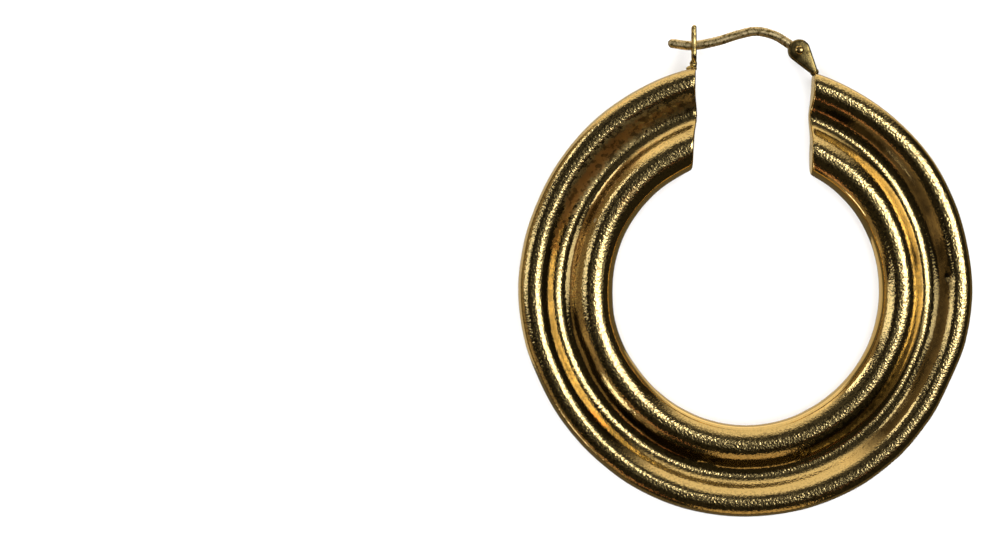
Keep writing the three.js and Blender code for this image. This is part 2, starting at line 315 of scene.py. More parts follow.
def rounded_wire(bm, route, half_wide, half_deep, sides, side_axis):
    """Extrudes a round wire along a route that lies in a plane, with rounded tips at both ends.
    half_wide is measured in the plane of the route and half_deep across it."""
    stations = []
    last = len(route) - 1
    for i, point in enumerate(route):
        heading = (route[min(i + 1, last)] - route[max(i - 1, 0)]).normalized()
        stations.append((point, heading, 1.0))
    start = [(route[0] - stations[0][1] * half_wide * math.sin(math.radians(a)),
              stations[0][1], math.cos(math.radians(a))) for a in reversed(TIP_ANGLES)]
    finish = [(route[-1] + stations[-1][1] * half_wide * math.sin(math.radians(a)),
               stations[-1][1], math.cos(math.radians(a))) for a in TIP_ANGLES]
    places = []
    for point, heading, size in (*start, *stations, *finish):
        across = side_axis.cross(heading).normalized()
        turned = Matrix((across, side_axis, heading)).transposed().to_4x4()
        sized = Matrix.Diagonal((half_wide * size, half_deep * size, 1.0, 1.0))
        places.append(Matrix.Translation(point) @ turned @ sized)
    ring = bmesh.ops.create_circle(bm, segments=sides, radius=1.0, matrix=places[0])["verts"]
    bmesh.ops.contextual_create(bm, geom=ring)
    made = list(ring)
    edges = edges_among(ring)
    for before, after in zip(places, places[1:]):
        grown = bmesh.ops.extrude_edge_only(bm, edges=edges)["geom"]
        ring = verts_of(grown)
        edges = edges_among(ring)
        bmesh.ops.transform(bm, matrix=after @ before.inverted(), verts=ring)
        made += ring
    bmesh.ops.contextual_create(bm, geom=ring)
    bmesh.ops.recalc_face_normals(bm, faces=list({f for v in made for f in v.link_faces}))
    return made


def solder_blob(bm, blob, lumps):
    """A slightly lumpy drop of solder."""
    made = bmesh.ops.create_icosphere(bm, subdivisions=4, radius=1.0)["verts"]
    for v in made:
        v.co *= 1.0 + lumps * noise.noise(v.co * 1.7)
    half = Vector(blob["half"]) * MM
    bmesh.ops.scale(bm, verts=made, vec=half)
    bmesh.ops.translate(bm, verts=made, vec=Vector(blob["at"]) * MM)
    return made


# ------------------------------------------------------------------ materials

def add(tree, kind, inputs=None, output=0, **properties):
    """Adds a node, sets its properties, and sets or links its inputs; gives one output."""
    node = tree.nodes.new(kind)
    for key, value in properties.items():
        setattr(node, key, value)
    for socket, value in (inputs or {}).items():
        if isinstance(value, bpy.types.NodeSocket):
            tree.links.new(value, node.inputs[socket])
        else:
            node.inputs[socket].default_value = value
    return node.outputs[output]


def new_metal(name):
    """An all-metal material: the material, its node tree and its shader."""
    material = bpy.data.materials.new(name)
    material.use_nodes = True
    shader = material.node_tree.nodes["Principled BSDF"]
    shader.inputs["Metallic"].default_value = 1.0
    return material, material.node_tree, shader


def object_place(tree):
    return add(tree, "ShaderNodeVectorMath", {
        0: tree.nodes.new("ShaderNodeTexCoord").outputs["Object"], 1: tuple(CENTRE),
    }, operation="SUBTRACT")


def grain(tree, place, size, detail=3.0, roughness=0.6, distortion=0.0):
    """Noise whose lumps are about this size."""
    return add(tree, "ShaderNodeTexNoise", {
        "Vector": place, "Scale": 1.0 / size, "Detail": detail, "Roughness": roughness,
        "Distortion": distortion,
    })


def ramp(tree, value, low, high, to_low=0.0, to_high=1.0):
    """A soft step from to_low to to_high as the value goes from low to high."""
    return add(tree, "ShaderNodeMapRange", {
        "Value": value, "From Min": low, "From Max": high, "To Min": to_low, "To Max": to_high,
    }, interpolation_type="SMOOTHSTEP")


def times(tree, a, b):
    return add(tree, "ShaderNodeMath", {0: a, 1: b}, operation="MULTIPLY")


def blend(tree, share_, a, b):
    """Mixes two colours, each a socket or a linear colour."""
    node = tree.nodes.new("ShaderNodeMix")
    node.data_type = "RGBA"
    for socket, value in ((0, share_), (6, a), (7, b)):
        if isinstance(value, bpy.types.NodeSocket):
            tree.links.new(value, node.inputs[socket])
        elif socket:
            node.inputs[socket].default_value = (*value, 1.0)
        else:
            node.inputs[socket].default_value = value
    return node.outputs[2]


def table_curve(tree, value, rows):
    """A smooth curve through (place, height) rows."""
    node = tree.nodes.new("ShaderNodeValToRGB")
    node.color_ramp.interpolation = "B_SPLINE"
    while len(node.color_ramp.elements) < len(rows):
        node.color_ramp.elements.new(0.5)
    for element, (place, height) in zip(node.color_ramp.elements, rows):
        element.position = place
        element.color = (height, height, height, 1.0)
    tree.links.new(value, node.inputs["Fac"])
    return node.outputs["Color"]


# How rubbed the plating is, across the band from the hole's edge to the outer edge.
RUB_ACROSS = (
    (0.0, 0.1), (0.07, 0.15), (0.13, 0.7), (0.22, 1.0), (0.3, 0.95), (0.36, 0.25), (0.45, 0.1),
    (0.5, 0.6), (0.56, 0.95), (0.6, 0.6), (0.64, 0.15), (0.71, 0.1), (0.77, 0.7),
    (0.84, 1.0), (0.91, 0.9), (0.96, 0.3),
)

# How much dull film lies in the channel, across the band: partly real brown tarnish and partly
# painted shade on the channel's flanks.
FILM_AND_SHADE_ACROSS = (
    (0.0, 0.0), (0.33, 0.0), (0.39, 0.4), (0.45, 0.55), (0.5, 0.3), (0.55, 0.0), (0.59, 0.4),
    (0.65, 1.0), (0.71, 0.9), (0.76, 0.1), (1.0, 0.0),
)

# The film, with the painted shade it carries, is thick along both sides of the hoop and thins out
# near the gap and opposite it.
FILM_AND_SHADE_FROM_X = 9.0 * MM
FILM_AND_SHADE_FULL_X = 15.0 * MM

# Single marks: place in degrees counterclockwise from the middle of the gap and as a share
# across the band, half sizes in the same units, how ragged the edge is, and how strong it is.
MARKS = (
    {"name": "pitted stretch", "around": 40, "across": 0.665, "long": 34, "wide": 0.12,
     "ragged": 0.9, "tone": "grime", "strength": 0.35},
    {"name": "pits by the catch end", "around": 22, "across": 0.62, "long": 12, "wide": 0.1,
     "ragged": 1.1, "tone": "grime", "strength": 0.6},
    {"name": "thin plating between the pits", "around": 50, "across": 0.66, "long": 30,
     "wide": 0.07, "ragged": 0.8, "tone": "copper", "strength": 0.4},
    {"name": "thin plating across from it", "around": 62, "across": 0.42, "long": 30,
     "wide": 0.05, "ragged": 0.9, "tone": "copper", "strength": 0.4},
    {"name": "copper patch", "around": 52, "across": 0.20, "long": 7, "wide": 0.035,
     "ragged": 0.9, "tone": "copper", "strength": 0.35},
    {"name": "fleck", "around": 65, "across": 0.355, "long": 1.0, "wide": 0.014,
     "ragged": 0.4, "tone": "pale", "strength": 0.9},
    {"name": "orange spots", "around": 131, "across": 0.68, "long": 4, "wide": 0.035,
     "ragged": 1.3, "tone": "copper", "strength": 0.6},
    {"name": "stain beside the ding", "around": 150, "across": 0.42, "long": 20, "wide": 0.07,
     "ragged": 0.8, "tone": "grime", "strength": 0.8},
    {"name": "stain past the ding", "around": 215, "across": 0.375, "long": 24, "wide": 0.06,
     "ragged": 0.8, "tone": "grime", "strength": 0.85},
    {"name": "crease", "around": 277, "across": 0.73, "long": 9, "wide": 0.045,
     "ragged": 1.0, "tone": "grime", "strength": 0.7},
    {"name": "dark stretch by the hinge end", "around": 327, "across": 0.665, "long": 12,
     "wide": 0.045, "ragged": 0.4, "tone": "grime", "strength": 0.85},
)

# Where the film is pitted through, the surface is matt.
MATT_STRETCH = {"around": 42, "across": 0.665, "long": 34, "wide": 0.12, "ragged": 0.5,
                "strength": 1.0}
MATT_ROUGHNESS = 0.38

# A mark fades in between these distances from its middle, in shares of its half size.
MARK_EDGE = (1.1, 0.7)

# Sizes of the patterns on the plating. Real rubbing scratches are finer than the crest grain, and
# real pits finer than these; both are drawn as coarse as they need to be to show.
CLOUD_SIZE = 2.5 * MM
EDGE_WANDER_SIZE = 0.9 * MM
FILM_HOLE_SIZE = 0.8 * MM
PIT_SIZE = 0.28 * MM
EDGE_WANDER = 4.0
PIT_SHARE = 0.75
SMOOTH_ROUGHNESS = 0.07
RUBBED_ROUGHNESS = 0.13
SMOOTH_GRAIN = 0.05


def mark(tree, where, wander, row):
    """Share of a mark at each place: a soft ellipse whose edge wanders."""
    centre = (row["around"], row["across"], 0.0)
    offset = add(tree, "ShaderNodeVectorMath", {0: where, 1: centre}, operation="SUBTRACT")
    sized = (1 / row["long"], 1 / row["wide"], 0.0)
    spread = add(tree, "ShaderNodeVectorMath", {0: offset, 1: sized}, operation="MULTIPLY")
    away = add(tree, "ShaderNodeVectorMath", {0: spread}, 1, operation="LENGTH")
    ragged = add(tree, "ShaderNodeMath", {0: wander, 1: row["ragged"], 2: away},
                 operation="MULTIPLY_ADD")
    return ramp(tree, ragged, *MARK_EDGE, 0.0, row["strength"])


def rubbed_gilt():
    """Gold-tone plating on stamped brass. The crests are rubbed pale and carry fine scratches
    that break highlights into specks; the channel keeps a smooth, deeper gold under a
    dull brown film that is partly real tarnish and partly painted shade on its flanks;
    dark pits gather where the film is thick."""
    finishes = settings().finishes
    material, tree, shader = new_metal("rubbed_gilt_plating")
    place = object_place(tree)
    across = add(tree, "ShaderNodeAttribute", output=2, attribute_name="across")
    around = add(tree, "ShaderNodeAttribute", output=2, attribute_name="around")
    where = add(tree, "ShaderNodeCombineXYZ", {0: around, 1: across})
    rub = table_curve(tree, across, RUB_ACROSS)
    # This film mask paints shade on the channel's flanks as well as real tarnish.
    film = table_curve(tree, across, FILM_AND_SHADE_ACROSS)
    x = add(tree, "ShaderNodeSeparateXYZ", {0: place})
    beside = add(tree, "ShaderNodeMath", {0: x}, operation="ABSOLUTE")
    film = times(tree, film, ramp(tree, beside, FILM_AND_SHADE_FROM_X, FILM_AND_SHADE_FULL_X))
    clouds = ramp(tree, grain(tree, place, CLOUD_SIZE, 5.0, 0.7), 0.35, 0.65, 0.75, 1.0)
    film = times(tree, film, clouds)
    fine = grain(tree, place, finishes.crest_grain, 1.0, 0.5)
    coarse = grain(tree, place, EDGE_WANDER_SIZE, 5.0, 0.75)
    speckle = grain(tree, place, PIT_SIZE, 2.0, 0.7)
    body = blend(tree, rub, tuple(finishes.gilt), tuple(finishes.rubbed))
    # Darkens the channel's flanks with the film: partly real tarnish, partly painted shade.
    body = blend(tree, film, body, tuple(finishes.tarnish_and_shade))
    pits = times(tree, rub, ramp(tree, speckle, 0.48, 0.62, 0.0, PIT_SHARE))
    body = blend(tree, pits, body, tuple(finishes.grime))
    wander = add(tree, "ShaderNodeMath", {0: coarse, 1: 0.5}, operation="SUBTRACT")
    wander = times(tree, wander, EDGE_WANDER)
    for row in MARKS:
        tone = tuple(getattr(finishes, row["tone"]))
        body = blend(tree, mark(tree, where, wander, row), body, tone)
    matt = mark(tree, where, wander, MATT_STRETCH)
    holes = times(tree, matt, ramp(tree, grain(tree, place, FILM_HOLE_SIZE, 3.0, 0.6), 0.5, 0.6))
    body = blend(tree, times(tree, holes, PIT_SHARE), body, tuple(finishes.grime))
    tree.links.new(body, shader.inputs["Base Color"])
    rough = ramp(tree, rub, 0.0, 1.0, SMOOTH_ROUGHNESS, RUBBED_ROUGHNESS)
    rough = add(tree, "ShaderNodeMath", {0: matt, 1: MATT_ROUGHNESS, 2: rough},
                operation="MULTIPLY_ADD")
    tree.links.new(rough, shader.inputs["Roughness"])
    depth = ramp(tree, rub, 0.0, 1.0, SMOOTH_GRAIN, 1.0)
    bump = tree.nodes.new("ShaderNodeBump")
    bump.inputs["Distance"].default_value = finishes.grain_depth
    tree.links.new(depth, bump.inputs["Strength"])
    tree.links.new(fine, bump.inputs["Height"])
    tree.links.new(bump.outputs["Normal"], shader.inputs["Normal"])
    return material


# Where worn marks begin and are full, in the noise; and the size of the uneven surface, which is
# finer on the real metal and drawn as coarse as it needs to be to show.
WORN_EDGE = (0.45, 0.62)
UNEVEN_SIZE = 0.3 * MM


def small_metal(name, base, marks, mark_size, roughness, depth):
    """Gilt of a small part: a base colour with worn marks and a finely uneven surface."""
    material, tree, shader = new_metal(name)
    place = object_place(tree)
    patches = ramp(tree, grain(tree, place, mark_size, 5.0, 0.7), *WORN_EDGE)
    tree.links.new(blend(tree, patches, base, marks), shader.inputs["Base Color"])
    shader.inputs["Roughness"].default_value = roughness
    bump = tree.nodes.new("ShaderNodeBump")
    bump.inputs["Distance"].default_value = depth
    tree.links.new(grain(tree, place, UNEVEN_SIZE, 4.0), bump.inputs["Height"])
    tree.links.new(bump.outputs["Normal"], shader.inputs["Normal"])
    return material


# ------------------------------------------------------------------ hoop

def bead_side(arcs, half_thickness, width):
    """Points down the side of a bead from its crest: (distance from the crest, drop)."""
    points = [(0.0, 0.0)]
    tilt = 0.0
    for (reached, radius), count in zip(arcs, ARC_STEPS):
        start, end = math.radians(tilt), math.radians(reached)
        from_out, from_drop = points[-1]
        for i in range(1, count + 1):
            angle = start + (end - start) * i / count
            points.append((
                from_out + radius * (math.sin(angle) - math.sin(start)),
                from_drop + radius * (math.cos(start) - math.cos(angle)),
            ))
        tilt = reached
    out_scale = width / points[-1][0]
    drop_scale = half_thickness / points[-1][1]
    return [(out * out_scale, drop * drop_scale) for out, drop in points]


def tube_outline(sizes, channel_steps):
    """The whole cross-section as (distance from the hole's edge, height) pairs, going round."""
    width = sizes.band_width
    flat = sizes.crest_flat / 2
    top = sizes.half_thickness
    inner = sizes.inner_crest * width - flat
    outer = sizes.outer_crest * width + flat
    floor = sizes.channel_floor * width
    upper = [(inner - out, top - drop) for out, drop in
             reversed(bead_side(HOLE_SIDE_ARCS, top, inner))]
    for i in range(2 * channel_steps + 1):
        along = i / channel_steps - 1
        flank = floor - inner - 2 * flat if along < 0 else outer - 2 * flat - floor
        drop = sizes.channel_depth * (1 + math.cos(math.pi * along)) / 2
        upper.append((floor + flank * along, top - drop))
    upper += [(outer + out, top - drop) for out, drop in
              bead_side(OUTER_SIDE_ARCS, top, width - outer)]
    upper[0] = (0.0, 0.0)
    upper[-1] = (width, 0.0)
    return upper + [(out, -z) for out, z in upper[-2:0:-1]]


def inset_outline(points, wall):
    """The same outline moved inwards by the wall's thickness."""
    moved = []
    for i, (out, z) in enumerate(points):
        before, after = points[i - 1], points[(i + 1) % len(points)]
        along = Vector((after[0] - before[0], after[1] - before[1])).normalized()
        moved.append((out + along.y * wall, z - along.x * wall))
    return moved


def outline_wear(angle):
    """How far the hole's edge and the outer edge lie from true at this angle."""
    rows = len(OUTLINE_WEAR)
    place = (angle / (2 * math.pi)) % 1.0 * rows
    row = int(place)
    mix = (1 - math.cos(math.pi * (place - row))) / 2
    low, high = OUTLINE_WEAR[row % rows], OUTLINE_WEAR[(row + 1) % rows]
    return [(a + (b - a) * mix) * MM for a, b in zip(low, high)]


def end_angle(sizes, end, out, margin):
    """The angle at which the ring at this distance meets the line of an end."""
    slope = (end["outer_x"] - end["inner_x"]) / (END_OUTER_Y - END_INNER_Y)
    angle = math.pi / 2
    for _ in range(8):
        radius = sizes.hole_radius + out * (1 + sizes.band_taper * math.sin(angle))
        y = radius * math.sin(angle)
        along = min(1.0, abs(y - sizes.waist_y) / sizes.waist_reach)
        swell = sizes.waist_bulge * (1 + math.cos(math.pi * along)) / 2
        x = end["inner_x"] + slope * (y - END_INNER_Y)
        x += end["metal"] * (margin - swell)
        angle = math.acos(x / radius)
    return angle


# The outline is spun this far before its ends are drawn onto their cut lines; a point found past
# the second angle is at the start, because of rounding. The rims' rounded stations are in degrees.
SPUN = math.radians(320)
BACK_AT_START = math.radians(340)
ROUNDING = (0, 18, 36, 54, 72, 90)


def sweep_tube(bm, sizes, points, count, margin, rounding):
    """Spins an outline round the hoop, draws both ends onto their cut lines with rounded rims,
    and gives the edges of the two ends."""
    index_layer = bm.verts.layers.int["outline"]
    across_layer = bm.verts.layers.float["across"]
    around_layer = bm.verts.layers.float["around"]
    first = []
    for i, (out, z) in enumerate(points):
        v = bm.verts.new((sizes.hole_radius + out, 0.0, z))
        v[index_layer] = i
        v[across_layer] = out / sizes.band_width
        first.append(v)
    edges = [bm.edges.new((v, first[i - 1])) for i, v in enumerate(first)]
    earlier = set(bm.verts) - set(first)
    made = bmesh.ops.spin(
        bm, geom=first + edges, cent=(0, 0, 0), axis=(0, 0, 1), angle=SPUN, steps=count,
        use_merge=False, use_duplicate=False,
    )
    rims = {}
    for k, degrees in enumerate(ROUNDING):
        a = math.radians(degrees)
        rims[k] = (inset_outline(points, rounding * (1 - math.sin(a))),
                   margin + rounding * (1 - math.cos(a)))
    plain = (points, margin + rounding)
    angles = {}
    for v in bm.verts:
        if v in earlier:
            continue
        turned = math.atan2(v.co.y, v.co.x) % (2 * math.pi)
        station = round(turned / SPUN * count) if turned < BACK_AT_START else 0
        i = v[index_layer]
        near_end = min(station, count - station)
        outline, inset_margin = rims.get(near_end, plain) if rounding else (points, margin)
        out, z = outline[i]
        key = (i, near_end if near_end < len(ROUNDING) and rounding else -1)
        if key not in angles:
            angles[key] = (
                end_angle(sizes, CATCH_END, out, inset_margin),
                end_angle(sizes, HINGE_END, out, inset_margin) + 2 * math.pi,
            )
        start, stop = angles[key]
        steps_in = len(ROUNDING) - 1 if rounding else 0
        if near_end < steps_in:
            angle = start if station < count / 2 else stop
        else:
            angle = start + (stop - start) * (station - steps_in) / (count - 2 * steps_in)
        v[around_layer] = math.degrees(angle) - 90
        hole_wear, outer_wear = outline_wear(angle)
        worn = hole_wear + (outer_wear - hole_wear) * out / sizes.band_width
        radius = sizes.hole_radius + out * (1 + sizes.band_taper * math.sin(angle)) + worn
        v.co = (radius * math.cos(angle), radius * math.sin(angle), z - dented(sizes, angle, out, z))
    return [e for e in edges if e.is_valid], edges_of(made["geom_last"])


# A dent is full above this share of the half thickness and fades towards the mid plane.
DENT_FULL = 0.4


def dented(sizes, angle, out, z):
    """How far the front of the tube is pushed in at this place."""
    if z <= 0:
        return 0.0
    push = 0.0
    for dent in DENTS:
        away = (math.degrees(angle) - dent["angle"] + 180) % 360 - 180
        along = math.radians(away) * (sizes.hole_radius + out) / (dent["along"] * MM)
        over = (out - dent["across"] * sizes.band_width) / (dent["over"] * MM)
        push += dent["depth"] * MM * math.exp(-along * along - over * over)
    return push * min(1.0, z / (DENT_FULL * sizes.half_thickness))


def close_ends(bm, sizes, catch_edges, hinge_edges, margin):
    """Fills the two ends and leaves the vent open; gives the vent's edges."""
    bmesh.ops.triangle_fill(bm, edges=catch_edges, use_beauty=True, normal=(1, 0, 0))
    slope = (HINGE_END["outer_x"] - HINGE_END["inner_x"]) / (END_OUTER_Y - END_INNER_Y)
    x = HINGE_END["inner_x"] + slope * (sizes.vent_y - END_INNER_Y) + margin
    matrix = Matrix.Translation((x, sizes.vent_y, 0.0)) @ Matrix.Rotation(math.pi / 2, 4, "Y")
    circle = bmesh.ops.create_circle(
        bm, segments=24, radius=sizes.vent_radius, matrix=matrix, cap_ends=False,
    )["verts"]
    vent = edges_among(circle)
    bmesh.ops.triangle_fill(bm, edges=hinge_edges + vent, use_beauty=True, normal=(1, 0, 0))
    return vent


class EARRING_OT_hoop(bpy.types.Operator):
    """Build the hollow fluted hoop with its end plates and vent"""
    bl_idname = "earring.hoop"
    bl_label = "Hoop"

    def execute(self, context):
        sizes = settings().hoop
        bm = bmesh.new()
        bm.verts.layers.int.new("outline")
        bm.verts.layers.float.new("across")
        bm.verts.layers.float.new("around")
        skin = tube_outline(sizes, 16)
        skin_ends = sweep_tube(bm, sizes, skin, sizes.ring_steps, 0.0, sizes.rim_round)
        skin_vent = close_ends(bm, sizes, *skin_ends, 0.0)
        lining = inset_outline(tube_outline(sizes, 6), sizes.wall)
        lining_ends = sweep_tube(bm, sizes, lining, 100, sizes.end_plate, 0.0)
        lining_vent = close_ends(bm, sizes, *lining_ends, sizes.end_plate)
        bmesh.ops.bridge_loops(bm, edges=skin_vent + lining_vent)
        bmesh.ops.recalc_face_normals(bm, faces=bm.faces)
        hoop = finished_object("hoop_tube", bm, rubbed_gilt(), 40.0)
        attach(hoop, "hoop", "hoop")
        return {"FINISHED"}


# ------------------------------------------------------------------ catch and fork

class EARRING_OT_catch(bpy.types.Operator):
    """Build the two-pronged catch and its solder"""
    bl_idname = "earring.catch"
    bl_label = "Catch"

    def execute(self, context):
        sizes = settings().clasp
        finishes = settings().finishes
        x, spread = sizes.catch_x, sizes.prong_spread
        route = []
        for i in range(8):
            part = i / 8
            y = sizes.prong_top + (sizes.bend_y - sizes.prong_top) * part
            route.append(Vector((x, y, spread - sizes.prong_pinch * (1 - part))))
        for i in range(17):
            a = math.pi * i / 16
            route.append(Vector((x, sizes.bend_y - spread * math.sin(a), spread * math.cos(a))))
        for i in range(1, 9):
            part = i / 8
            y = sizes.bend_y + (sizes.prong_top - sizes.bend_y) * part
            route.append(Vector((x, y, -spread + sizes.prong_pinch * part)))
        bm = bmesh.new()
        rounded_wire(bm, route, sizes.prong_radius, sizes.prong_radius, 24, Vector((1, 0, 0)))
        for blob in CATCH_SOLDER:
            solder_blob(bm, blob, 0.12)
        # Bright gilt wire: sharp glints along the prongs, broken by brown wear.
        material = small_metal(
            "catch_gilt_wire", tuple(finishes.solder), tuple(finishes.scuff), 0.5 * MM, 0.16,
            0.02 * MM,
        )
        catch = finished_object("catch", bm, material)
        attach(catch, "hoop", "hoop")
        return {"FINISHED"}


def fork_heading(sizes):
    return Vector((sizes.tail_x - HINGE_X, sizes.tail_y - HINGE_Y, 0.0))


def teardrop(bm, sizes, z, count):
    """A loop round the fork's head and tail at this height."""
    heading = fork_heading(sizes)
    facing = math.atan2(heading.y, heading.x)
    spread = math.acos((sizes.cheek_radius - sizes.tail_radius) / heading.length)
    loop = bmesh.ops.create_circle(
        bm, segments=count, radius=sizes.cheek_radius,
        matrix=Matrix.Translation((HINGE_X, HINGE_Y, z)),
    )["verts"]
    for v in loop:
        arm = v.co - Vector((HINGE_X, HINGE_Y, z))
        away = (math.atan2(arm.y, arm.x) - facing + math.pi) % (2 * math.pi) - math.pi
        if abs(away) <= spread:
            v.co = Vector((sizes.tail_x, sizes.tail_y, z)) + arm.normalized() * sizes.tail_radius
    return loop


def flat_ring(bm, outer, inner, z_step):
    """Turns two loops into a plate with a hole; gives the points of its far face."""
    bridged = bmesh.ops.bridge_loops(bm, edges=edges_among(outer) + edges_among(inner))["faces"]
    grown = bmesh.ops.extrude_face_region(bm, geom=bridged, use_keep_orig=True)["geom"]
    moved = verts_of(grown)
    bmesh.ops.translate(bm, verts=moved, vec=(0, 0, z_step))
    whole = list({f for v in [*outer, *inner, *moved] for f in v.link_faces})
    bmesh.ops.recalc_face_normals(bm, faces=whole)
    return moved


def rim_edges(verts, centre, inner_radius):
    """Edges joining those verts that lie farther out than the hole."""
    far = [v for v in verts if (v.co - centre).to_2d().length > inner_radius * 1.2]
    return [e for e in edges_among(far) if len(e.link_faces) == 2
            and abs(e.link_faces[0].normal.dot(e.link_faces[1].normal)) < 0.5]


class EARRING_OT_fork(bpy.types.Operator):
    """Build the hinge fork that stands on the hoop's other end"""
    bl_idname = "earring.fork"
    bl_label = "Hinge fork"

    def execute(self, context):
        sizes = settings().clasp
        finishes = settings().finishes
        inside = settings().ear_wire.thickness / 2 + sizes.cheek_clearance
        hole = sizes.pin_radius + sizes.pin_clearance
        pin = Vector((HINGE_X, HINGE_Y, 0.0))
        bm = bmesh.new()
        for side in (1, -1):
            outer = teardrop(bm, sizes, side * inside, 64)
            inner = bmesh.ops.create_circle(
                bm, segments=64, radius=hole,
                matrix=Matrix.Translation((HINGE_X, HINGE_Y, side * inside)),
            )["verts"]
            moved = flat_ring(bm, outer, inner, side * sizes.cheek_thickness)
            bm.normal_update()
            bmesh.ops.bevel(
                bm, geom=rim_edges(moved, pin, hole), offset=sizes.cheek_round,
                offset_type="OFFSET", affect="EDGES", segments=5, profile=0.5, material=-1,
            )
        self.web(bm, sizes, inside)
        solder_blob(bm, HINGE_SOLDER, 0.15)
        # Gilt with an olive tint, drawn darker than the hoop as painted shade: a dull, soft sheen
        # with dark patches.
        material = small_metal(
            "fork_gilt", tuple(finishes.fork), tuple(finishes.grime), 1.1 * MM, 0.22,
            0.012 * MM,
        )
        fork = finished_object("hinge_fork", bm, material)
        attach(fork, "hoop", "hoop")
        return {"FINISHED"}

    def web(self, bm, sizes, inside):
        """The solid tail between the cheeks, past the slot."""
        loop = teardrop(bm, sizes, -inside, 64)
        face = bmesh.ops.contextual_create(bm, geom=edges_among(loop))["faces"]
        grown = bmesh.ops.extrude_face_region(bm, geom=face, use_keep_orig=True)["geom"]
        moved = verts_of(grown)
        bmesh.ops.translate(bm, verts=moved, vec=(0, 0, 2 * inside))
        verts = [*loop, *moved]
        geometry = verts + edges_among(verts) + list({f for v in verts for f in v.link_faces})
        heading = fork_heading(sizes).normalized()
        cut = bmesh.ops.bisect_plane(
            bm, geom=geometry, plane_no=heading, clear_inner=True,
            plane_co=Vector((HINGE_X, HINGE_Y, 0.0)) + heading * sizes.web_start,
        )["geom_cut"]
        bmesh.ops.contextual_create(bm, geom=edges_of(cut))
        bmesh.ops.recalc_face_normals(bm, faces=bm.faces)


# ------------------------------------------------------------------ rivet and ear wire

class EARRING_OT_rivet(bpy.types.Operator):
    """Build the rivet that the ear wire turns on"""
    bl_idname = "earring.rivet"
    bl_label = "Rivet"

    def execute(self, context):
        sizes = settings().clasp
        finishes = settings().finishes
        inside = settings().ear_wire.thickness / 2 + sizes.cheek_clearance
        under = inside + sizes.cheek_thickness + sizes.dome_gap
        half = [(sizes.pin_radius, 0.0), (sizes.pin_radius, under)]
        for i in range(11):
            a = math.pi / 2 * i / 10
            half.append((sizes.dome_radius * math.cos(a), under + sizes.dome_height * math.sin(a)))
        bm = bmesh.new()
        for side in (1, -1):
            verts = [bm.verts.new((HINGE_X + out, HINGE_Y, side * z)) for out, z in half]
            edges = [bm.edges.new(pair) for pair in zip(verts, verts[1:])]
            bmesh.ops.spin(
                bm, geom=verts + edges, cent=(HINGE_X, HINGE_Y, 0), axis=(0, 0, 1),
                angle=2 * math.pi, steps=40, use_merge=True, use_duplicate=False,
            )
        bmesh.ops.remove_doubles(bm, verts=bm.verts, dist=0.001 * MM)
        bmesh.ops.recalc_face_normals(bm, faces=bm.faces)
        # Peened gilt heads: one small bright glint on each.
        material = small_metal(
            "peened_gilt_rivet", tuple(finishes.gilt), tuple(finishes.scuff), 0.4 * MM, 0.2,
            0.015 * MM,
        )
        rivet = finished_object("hinge_rivet_pin", bm, material)
        attach(rivet, "hoop", "hinge_rivet")
        return {"FINISHED"}


class EARRING_OT_ear_wire(bpy.types.Operator):
    """Build the bent ear wire with its flat eye"""
    bl_idname = "earring.ear_wire"
    bl_label = "Ear wire"

    def execute(self, context):
        sizes = settings().ear_wire
        clasp = settings().clasp
        finishes = settings().finishes
        route = smooth_route([Vector((p["x"], p["y"], 0.0)) * MM for p in WIRE_ROUTE], 90)
        bm = bmesh.new()
        rounded_wire(bm, route, sizes.height / 2, sizes.thickness / 2, 32, Vector((0, 0, 1)))
        low = Matrix.Translation((HINGE_X, HINGE_Y, -sizes.thickness / 2))
        outer = bmesh.ops.create_circle(
            bm, segments=64, radius=sizes.eye_radius, matrix=low,
        )["verts"]
        inner = bmesh.ops.create_circle(
            bm, segments=64, radius=clasp.pin_radius + clasp.pin_clearance, matrix=low,
        )["verts"]
        flat_ring(bm, outer, inner, sizes.thickness)
        # Drawn gilt wire, worn pale: a satin streak with brown scuffs.
        material = small_metal(
            "worn_gilt_wire", tuple(finishes.wire), tuple(finishes.scuff), 0.4 * MM, 0.38,
            0.015 * MM,
        )
        wire = finished_object("ear_wire_bent", bm, material)
        attach(wire, "ear_wire", "ear_wire")
        return {"FINISHED"}


# ------------------------------------------------------------------ studio

